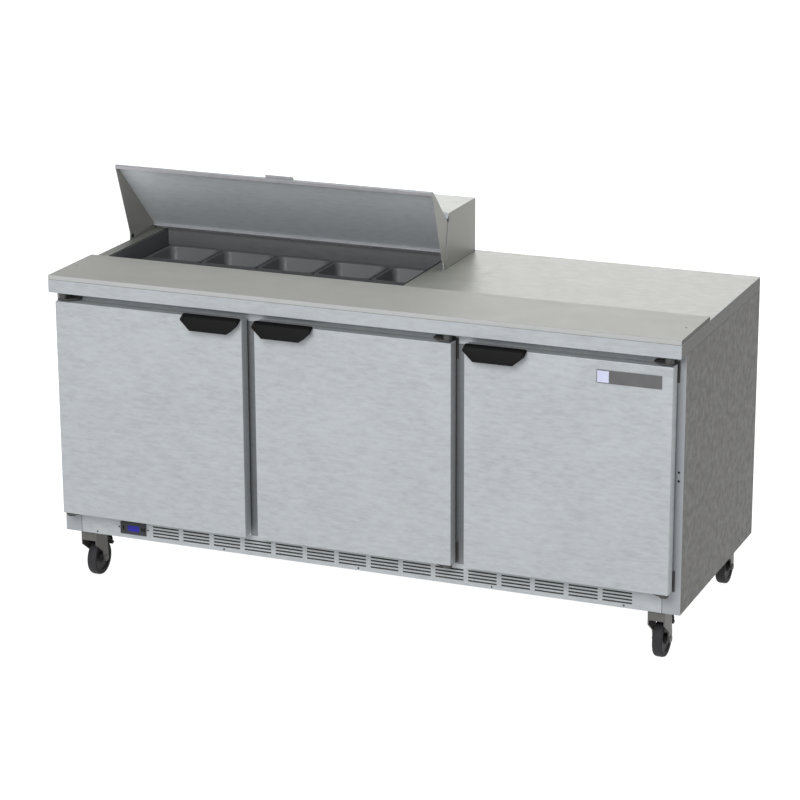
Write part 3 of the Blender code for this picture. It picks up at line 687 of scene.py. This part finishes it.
def make_louvres():
    """A pressed blade behind each slot of the kick panel, sloping in and down, near black as
    painted shade inside the slots.
    """
    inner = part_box("kick_panel")[1].y - FRONT
    groups = 15
    first_middle = 0.3181
    group_pitch = 0.0955
    group_half = 0.0418
    slots = 4
    slots_middle = 0.1762
    slot_pitch = 0.00945
    blade_depth = 0.0042
    blades = []
    for group in range(groups):
        middle = first_middle + group * group_pitch
        for row in range(slots):
            height = slots_middle + (row - (slots - 1) / 2) * slot_pitch
            outline = [
                (inner + 0.0002, height + 0.0030),
                (inner + 0.0009, height + 0.0036),
                (inner + blade_depth, height - 0.0052),
                (inner + blade_depth - 0.0008, height - 0.0056),
            ]
            ends = (middle - group_half, middle + group_half)
            points = [at(x, y, z) for x in ends for y, z in outline]
            faces = [(n, (n + 1) % 4, (n + 1) % 4 + 4, n + 4) for n in range(4)]
            blades.append(mesh_of(points, [*faces, (0, 1, 2, 3), (4, 5, 6, 7)]))
    piece("kick_louvres", joined(blades), "louvre", "cabinet", smooth=False)


def make_well_liner():
    """A folded liner on the four walls of the cut-out, with a small lip at its lower edge, in near
    black steel as painted shade inside the well.
    """
    corner = 0.0035
    # Inset from the wall and height
    steps = [
        (0.0, 0.8525),
        (0.0, 0.8994),
        (0.0006, 0.8996),
        (0.0009, 0.8990),
        (0.0009, 0.8535),
        (0.0022, 0.8528),
        (0.0022, 0.8522),
    ]
    middle = at(*WELL_MIDDLE, 0)
    half_x, half_y = WELL_HALF
    rings = [rounded_ring(middle, half_x - i, half_y - i, corner, z) for i, z in steps]
    shape = loft_mesh([*rings, rings[0]], capped=False)
    piece("well_liner", shape, "well_shade_steel", "cabinet")


def make_apron():
    """A low folded strip on the worktop behind the cut-out, under the open lid's rear edge."""
    front, back = 0.6592, 0.6680
    sheet = 0.0017
    foot_top = 0.9012
    shoulder, top = 0.9125, 0.9132
    profile = [
        (front, WORKTOP),
        (front, shoulder),
        (front + 0.0005, top),
        (front + 0.0012, top),
        (front + sheet, shoulder),
        (front + sheet, foot_top),
        (back, foot_top),
        (back, WORKTOP),
    ]
    rings = [[at(x, y, z) for y, z in profile] for x in (0.0030, 0.9840)]
    # Painted light: this strip's light steel stands against the open lid's shade
    piece("lid_apron", loft_mesh(rings), "frame_lit_steel", "cabinet", smooth=False)


def make_lid_hem():
    """The folded hem that hangs from the open lid's lower edge."""
    low = at(0.0045, 0.6350, 0.9108)
    high = at(0.9825, 0.6366, 0.9151)
    piece("lid_hem", box_mesh(low, high, 0.0005), "lid_light_and_shade_steel", "lid_body")


def make_well_trim():
    """A low dark trim on the worktop round the cut-out."""
    corner = 0.0045
    clear_x, clear_y = 0.0002, 0.0004
    width = 0.0040
    top = 0.9009
    steps = [(0.0, WORKTOP), (0.0, top), (width, top), (width, WORKTOP)]
    middle = at(*WELL_MIDDLE, 0)
    half_x, half_y = WELL_HALF[0] + clear_x, WELL_HALF[1] + clear_y
    rings = [rounded_ring(middle, half_x + out, half_y + out, corner, z) for out, z in steps]
    shape = loft_mesh([*rings, rings[0]], capped=False)
    piece("well_trim", shape, "gasket", "cabinet")


def make_mullion_shade_strips():
    """A dark strip on each mullion, seen between the doors: painted shade for the shadowed gap."""
    left, right = 0.0250, 0.0120
    foot, top = 0.2062, 0.8260
    strips = []
    for middle in (0.61015, 1.21865):
        low = at(middle - left, SHELL_FRONT - PROUD, foot)
        high = at(middle + right, SHELL_FRONT + 0.0010, top)
        strips.append(box_mesh(low, high, 0.0003))
    piece("mullion_shade_strips", joined(strips), "shade_and_joint_steel", "cabinet")


def make_hood_seam():
    """The dark joint between the hood's right side and the worktop."""
    hood_low, hood_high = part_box("hood")
    low = Vector((hood_high.x - 0.0010, hood_low.y + 0.010, 0.9001))
    high = Vector((hood_high.x + 0.0008, hood_high.y, 0.9022))
    piece("hood_seam", box_mesh(low, high, 0.0004), "shade_and_joint_steel", "cabinet")


def make_seams():
    """The dark joint at each end of the kick panel."""
    panel_low, panel_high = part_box("kick_panel")
    half = 0.0006
    strips = []
    for x in (panel_low.x, panel_high.x):
        low = Vector((x - half, panel_low.y - 0.0003, panel_low.z))
        high = Vector((x + half, panel_low.y + 0.0010, panel_high.z))
        strips.append(box_mesh(low, high, 0.0002))
    piece("kick_seams", joined(strips), "shadow", "cabinet")


def make_badge():
    """A plain light square at the left of the badge, with no mark on it."""
    low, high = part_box("badge_plate")
    inset = 0.0018
    square_right = 0.0335
    square_low = Vector((low.x + inset, low.y - PROUD, low.z + inset))
    square_high = Vector((low.x + square_right, low.y + 0.001, high.z - inset))
    square = box_mesh(square_low, square_high, 0.0003)
    piece("badge_square", square, "badge_square", "door_body_3")


def make_shelves():
    """Wire shelves: a border, two stiffening rods and close cross wires."""
    rod = 0.0029
    wire = 0.0016
    count = 22
    for number in (1, 2, 3):
        low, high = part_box(f"shelf_{number}")
        z = low.z + rod
        x0, x1 = low.x + rod, high.x - rod
        y0, y1 = low.y + rod, high.y - rod
        border = [(x0, y0, z), (x1, y0, z), (x1, y1, z), (x0, y1, z), (x0, y0, z)]
        rods = [[(x0, y, z), (x1, y, z)] for y in (y0 + (y1 - y0) / 3, y0 + 2 * (y1 - y0) / 3)]
        name = f"shelf_frame_{number}"
        shown = tubes(name, [border, *rods], rod, "shelf_coat", "cabinet")
        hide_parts(f"shelf_{number}")
        top = high.z - wire
        wires = []
        for n in range(1, count):
            x = x0 + (x1 - x0) * n / count
            wires.append([(x, y0, top), (x, y1, top)])
        tubes(f"shelf_wires_{number}", wires, wire, "shelf_coat", "cabinet")


def make_door_liners():
    """A dished inner panel on the back of each door, inside its gasket."""
    gasket_width = 0.0135
    corner = 0.012
    # Inset from the gasket and rise off the door
    steps = [
        (0.0, 0.0),
        (0.0, 0.0030),
        (0.0020, 0.0048),
        (0.030, 0.0048),
        (0.040, 0.0015),
        (0.060, 0.0012),
    ]
    for number in (1, 2, 3):
        low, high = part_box(f"door_gasket_{number}")
        centre = (low + high) / 2
        half_x = (high.x - low.x) / 2 - gasket_width
        half_z = (high.z - low.z) / 2 - gasket_width
        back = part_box(f"door_{number}")[1].y
        rings = []
        for inset, rise in steps:
            flat = rounded_ring(Vector((0, 0, 0)), half_x - inset, half_z - inset, corner, 0)
            rings.append([(centre.x + x, back + PROUD + rise, centre.z + z) for x, z, _ in flat])
        name = f"door_liner_{number}"
        piece(name, loft_mesh(rings), "liner", f"door_body_{number}")


def make_back():
    """Fixings and a stamped air grille on the back panel, behind the machine space."""
    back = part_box("back_panel")[1].y - FRONT
    first = at(0.515, back, 0.195)
    rows = 11
    row_pitch = 0.2 / rows
    columns = 4
    column_pitch = 0.2075
    column_width = 0.195
    # Depth off the panel, and height as a share of the pitch
    blade = [(0, -0.42), (0.0065, -0.30), (0.0072, -0.24), (0.0008, 0.36), (0, 0.36)]
    slats = []
    for row in range(rows):
        z = first.z + row_pitch * (row + 0.5)
        outline = [(depth, z + row_pitch * share) for depth, share in blade]
        for column in range(columns):
            x0 = first.x + column * column_pitch
            x1 = x0 + column_width
            points = [(x, first.y + y, height) for x in (x0, x1) for y, height in outline]
            count = len(outline)
            faces = [(n, (n + 1) % count, (n + 1) % count + count, n + count) for n in range(count)]
            faces += [tuple(range(count)), tuple(range(count, 2 * count))]
            slats.append(mesh_of(points, faces))
    piece("back_louvres", joined(slats), "inner_steel", "cabinet", smooth=False)
    spots = [(x, back, z) for x in (0.08, 0.64, 1.20, 1.75) for z in (0.17, 0.50, 0.83)]
    shapes = [screw_mesh(at(*spot), (0, 1, 0), 0.0035) for spot in spots]
    piece("back_screws", joined(shapes), "screw_steel", "cabinet")


# ---------------------------------------------------------------- stage


def make_stage():
    """A plain pale floor, soft lights and the camera."""
    size = 60.0
    corners = [(-size, -size, 0), (size, -size, 0), (size, size, 0), (-size, size, 0)]
    mesh = mesh_of(corners, [(0, 1, 2, 3)])
    floor = bpy.data.objects.new("floor", mesh)
    bpy.context.scene.collection.objects.link(floor)
    nodes = Nodes("floor_white")
    pale = nodes.ramp(nodes.noise(0.6), [(0.3, (0.19, 0.19, 0.19)), (0.7, (0.21, 0.21, 0.21))])
    nodes.link(pale, nodes.shader.inputs["Base Color"])
    nodes.shader.inputs["Emission Color"].default_value = (1, 1, 1, 1)
    nodes.shader.inputs["Emission Strength"].default_value = 0.95
    nodes.set(roughness=0.9)
    mesh.materials.append(nodes.material)

    world = bpy.data.worlds.new("studio")
    world.use_nodes = True
    world.node_tree.nodes["Background"].inputs["Color"].default_value = (1, 1, 1, 1)
    world.node_tree.nodes["Background"].inputs["Strength"].default_value = 0.42
    bpy.context.scene.world = world

    # Name, place, width in metres and power in watts
    lights = (
        ("key", (0.2, -7.2, 5.2), 4.0, 640),
        ("overhead", (0.5, 1.6, 4.8), 3.6, 170),
        ("back", (-1.5, 6.5, 3.0), 3.6, 120),
    )
    for name, place, width, power in lights:
        data = bpy.data.lights.new(name, "AREA")
        data.shape = "SQUARE"
        data.size = width
        data.energy = power
        lamp = bpy.data.objects.new(name, data)
        bpy.context.scene.collection.objects.link(lamp)
        lamp.location = place
        aim = Vector((0, 0, 0.5)) - lamp.location
        lamp.rotation_euler = aim.to_track_quat("-Z", "Y").to_euler()

    data = bpy.data.cameras.new("camera")
    data.lens = CAMERA_LENS
    data.sensor_width = 36.0
    camera = bpy.data.objects.new("camera", data)
    bpy.context.scene.collection.objects.link(camera)
    turn = Matrix.Rotation(CAMERA_TURN, 4, "Z")
    tilt = Matrix.Rotation(math.pi / 2 - CAMERA_TILT, 4, "X")
    roll = Matrix.Rotation(CAMERA_ROLL, 4, "Z")
    camera.matrix_world = Matrix.Translation(at(*CAMERA_AT)) @ turn @ tilt @ roll
    bpy.context.scene.camera = camera
    bpy.context.scene.view_settings.view_transform = "Standard"


dress_nodes()
make_pans()
make_handles()
make_wheels()
make_brake_covers()
make_controller()
make_screws()
make_louvres()
make_well_liner()
make_well_trim()
make_apron()
make_lid_hem()
make_mullion_shade_strips()
make_hood_seam()
make_seams()
make_badge()
make_shelves()
make_door_liners()
make_back()
make_stage()
